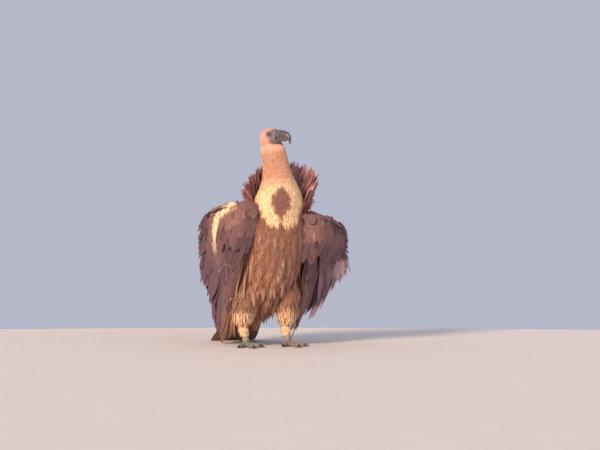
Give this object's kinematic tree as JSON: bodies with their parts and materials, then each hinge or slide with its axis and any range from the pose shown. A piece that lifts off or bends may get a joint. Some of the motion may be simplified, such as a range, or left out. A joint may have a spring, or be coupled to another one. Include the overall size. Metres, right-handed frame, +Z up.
{
  "type": "griffon vulture",
  "caption": "Life-size griffon vulture standing upright with drooped, slightly opened wings and its head turned, resting on its feet and tail tip.",
  "frame": {"origin": "bottom centre of the bounding box, on the floor", "axes": "+Z up, -Y the way the breast faces, +X the bird's left"},
  "size_m": [0.6066, 0.6206, 0.8347],
  "materials": {
    "plumage": "overlapping rufous-brown body feathers with pale shaft streaks",
    "down": "short dense pinkish-buff and cream down",
    "quills": "dark brown flight feathers, faintly glossy",
    "horn": "dark horn, satin",
    "cere": "dark grey bare skin",
    "scales": "grey scaled skin",
    "eye": "wet dark brown eye"
  },
  "bodies": {
    "root": {"trunk": "plumage", "crop": "down", "neck": "down", "head": "down", "cere": "cere", "bill_upper": "horn", "bill_lower": "horn", "eye_left": "eye", "eye_right": "eye", "ruff": "plumage", "shoulder_left": "plumage", "shoulder_right": "plumage", "wing_left_arm": "plumage", "wing_left_hand": "plumage", "wing_left_scapulars": "plumage", "wing_left_coverts": "plumage", "wing_left_secondaries": "quills", "wing_left_primaries": "quills", "wing_right_arm": "plumage", "wing_right_hand": "plumage", "wing_right_scapulars": "plumage", "wing_right_coverts": "plumage", "wing_right_secondaries": "quills", "wing_right_primaries": "quills", "tail": "quills", "thigh_left": "plumage", "thigh_right": "plumage", "shank_left": "scales", "shank_right": "scales", "foot_left": "scales", "foot_right": "scales", "claw_left_inner": "horn", "claw_left_middle": "horn", "claw_left_outer": "horn", "claw_left_hind": "horn", "claw_right_inner": "horn", "claw_right_middle": "horn", "claw_right_outer": "horn", "claw_right_hind": "horn"}
  },
  "joints": []
}
